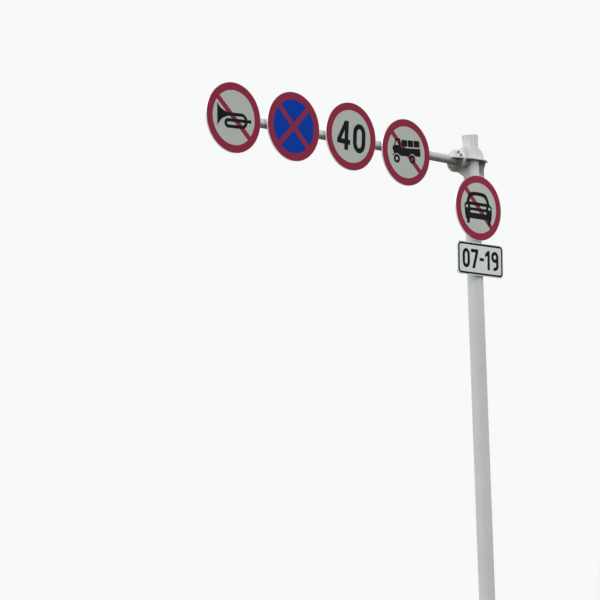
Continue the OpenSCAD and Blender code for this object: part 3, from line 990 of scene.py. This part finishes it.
def plate_on_stub(height):
    """Where the level plate's face at this height meets the stub, in the arm's frame."""
    points = []
    for p in straight_seam((JOINT_BACK, 0, 0), (-MAST_R, 0, 0)):
        z = (height + p.x * math.sin(ARM_RISE)) / math.cos(ARM_RISE)
        points.append(Vector((p.x, math.sqrt(STUB_R ** 2 - z ** 2), z)))
    return points


def add_plate_welds(builder):
    """Seams of the bracket's level plate to the mast, the stub and the flange."""
    for side in (-WEB_T / 2, WEB_T / 2):
        add_bead(builder, round_seam(MAST_R, lambda u, v: (u, v, PLATE_Z + side)), BEAD, closed=True)
        z = SIDE_GUSSET_Z + side
        inner = math.sqrt(STUB_R ** 2 - z ** 2)
        on_flange = ((JOINT_BACK, inner, z), (JOINT_BACK, PLATE_FLANGE_HALF, z))
        for seam in (plate_on_stub(PLATE_LIFT + side), straight_seam(*on_flange)):
            add_bead(builder, in_arm(seam), EDGE_BEAD)
            add_bead(builder, in_arm(mirrored(seam)), EDGE_BEAD)


def add_web_welds(builder):
    """Seams of the upright webs to the mast, the level plate, the flange and the stub."""
    half = WEB_T / 2
    mast_x = math.sqrt(MAST_R ** 2 - half ** 2)
    for y in (-half, half):
        for way, reach, tail in ((1, WEB_UP, TAIL_UP_REACH), (-1, WEB_DOWN, TAIL_ROOT_REACH)):
            end = ARM_Z + way * (reach - SEAM_SETBACK)
            seat = PLATE_Z + way * half
            on_front = ((-mast_x, y, ARM_Z + way * STUB_R), (-mast_x, y, end))
            on_back = ((mast_x, y, seat), (mast_x, y, end))
            on_plate = ((MAST_R, y, seat), (tail, y, seat))
            for ends in (on_front, on_back, on_plate):
                add_bead(builder, straight_seam(*ends), EDGE_BEAD)
            root = (JOINT_BACK, y, way * STUB_R)
            rim = (JOINT_BACK, y, way * (FLANGE_R - RIM_SETBACK))
            add_bead(builder, in_arm(straight_seam(root, rim)), EDGE_BEAD)
            on_stub = straight_seam(root, (-MAST_R, y, way * STUB_R))
            add_bead(builder, in_arm(on_stub), STUB_BEAD)


def make_bracket_welds():
    builder = bmesh.new()
    add_plate_welds(builder)
    add_web_welds(builder)
    for seam in (round_seam(STUB_R, stub_on_mast),
                 round_seam(STUB_R, lambda u, v: (JOINT_BACK, u, v))):
        add_bead(builder, in_arm(seam), BEAD, closed=True)
    add_piece("bracket_welds", builder, PAINT, smooth=True)


def make_arm_welds():
    """Seams of the arm to its flange and of the four gussets to both."""
    builder = bmesh.new()
    seam = round_seam(ARM_R, lambda u, v: (JOINT_FRONT, u, v))
    add_bead(builder, in_arm(seam), BEAD, closed=True)
    for degrees, shift in ((0, 0), (90, SIDE_GUSSET_Z), (180, 0), (270, -SIDE_GUSSET_Z)):
        turn = Matrix.Rotation(math.radians(degrees), 4, "X")
        for y in (shift - WEB_T / 2, shift + WEB_T / 2):
            z = math.sqrt(ARM_R ** 2 - y ** 2)
            root = (JOINT_FRONT, y, z)
            along = straight_seam(root, (JOINT_FRONT - GUSSET_LEN, y, z))
            up = straight_seam(root, (JOINT_FRONT, y, FLANGE_R - RIM_SETBACK))
            for seam in (along, up):
                add_bead(builder, in_arm([turn @ p for p in seam]), EDGE_BEAD)
    add_piece("arm_welds", builder, PAINT, smooth=True)


# Floor, sky and lamps

FLOOR_SIZE = 260
FLOOR_SEEN = (0.72, 0.715, 0.71)
FLOOR_BOUNCE = (0.05, 0.05, 0.048)
BACKDROP = (0.94, 0.945, 0.945)
SKY = (0.97, 0.99, 1.0)
SKY_STRENGTH = 0.80

# Each lamp's strength, its width in degrees and the direction in which it shines
LAMPS = {
    "key": (1.55, 30, (0.67, -0.47, -0.57)),
    "front": (1.12, 50, (0.20, 0.85, -0.49)),
    "back_fill": (0.3, 60, (-0.58, -0.58, -0.57)),
}


def seen_directly(tree):
    """1 for camera, glossy and transmission rays, 0 for the light that falls on surfaces."""
    path = tree.nodes.new("ShaderNodeLightPath").outputs
    seen = tree.math("MAXIMUM", path["Is Camera Ray"], path["Is Glossy Ray"])
    return tree.math("MAXIMUM", seen, path["Is Transmission Ray"])


def make_floor():
    """A plain pale floor that sends little light back up."""
    bpy.ops.mesh.primitive_plane_add(size=FLOOR_SIZE, location=(0, 0, 0))
    floor = bpy.context.object
    floor.name = "floor"
    mat, tree, shader = new_material("floor")
    tree.feed(shader["Base Color"], tree.mix(seen_directly(tree), FLOOR_BOUNCE, FLOOR_SEEN))
    shader["Roughness"].default_value = 0.9
    shader["Specular IOR Level"].default_value = 0.1
    floor.data.materials.append(mat)


def make_world():
    """An even sky for the light, and a plain pale backdrop where it is seen."""
    world = bpy.data.worlds.new("studio")
    bpy.context.scene.world = world
    world.use_nodes = True
    tree = Tree(world.node_tree)
    tree.nodes.clear()
    choose = tree.nodes.new("ShaderNodeMixShader")
    tree.feed(choose.inputs["Fac"], seen_directly(tree))
    for socket, colour, strength in ((1, SKY, SKY_STRENGTH), (2, BACKDROP, 1)):
        background = tree.nodes.new("ShaderNodeBackground")
        tree.feed(background.inputs["Color"], colour)
        tree.feed(background.inputs["Strength"], strength)
        tree.feed(choose.inputs[socket], background.outputs["Background"])
    output = tree.nodes.new("ShaderNodeOutputWorld")
    tree.feed(output.inputs["Surface"], choose.outputs["Shader"])


def make_lamp(name, strength, width, direction):
    """A broad soft light from far away."""
    light = bpy.data.lights.new(name, "SUN")
    light.energy = strength
    light.angle = math.radians(width)
    lamp = bpy.data.objects.new(name, light)
    lamp.rotation_mode = "QUATERNION"
    lamp.rotation_quaternion = Vector(direction).to_track_quat("-Z", "Y")
    bpy.context.scene.collection.objects.link(lamp)


# The camera stands in front of the signs and far to their left, and looks up to the right.
# Its angles are in degrees, and its focal length is in pixels of the square frame.
CAMERA_PLACE = (-21.855, -20.398, 0.835)
CAMERA_YAW = 42.871
CAMERA_PITCH = 5.841
CAMERA_ROLL = -1.714
FOCAL_PX = 2464.2
FRAME_PX = 600
SENSOR_MM = 36
VIEW_DEPTH = 1000


def make_camera():
    data = bpy.data.cameras.new("camera")
    data.sensor_width = SENSOR_MM
    data.lens = FOCAL_PX * SENSOR_MM / FRAME_PX
    data.clip_end = VIEW_DEPTH
    camera = bpy.data.objects.new("camera", data)
    bpy.context.scene.collection.objects.link(camera)
    turn = Matrix.Rotation(-math.radians(CAMERA_YAW), 4, "Z")
    tip = Matrix.Rotation(math.radians(90 + CAMERA_PITCH), 4, "X")
    roll = Matrix.Rotation(math.radians(CAMERA_ROLL), 4, "Z")
    camera.matrix_world = Matrix.Translation(CAMERA_PLACE) @ turn @ tip @ roll
    bpy.context.scene.camera = camera


random.seed(SEED)
make_camera()
dress_nodes()
for sign_name, sign in SIGNS.items():
    dress_round_sign(sign_name, sign)
dress_plate()
make_anchor_nuts()
make_flange_bolts()
make_all_clamp_bolts()
make_base_welds()
make_cap_weld()
make_bracket_welds()
make_arm_welds()
make_floor()
make_world()
for lamp_name, values in LAMPS.items():
    make_lamp(lamp_name, *values)
bpy.context.scene.view_settings.view_transform = "Standard"
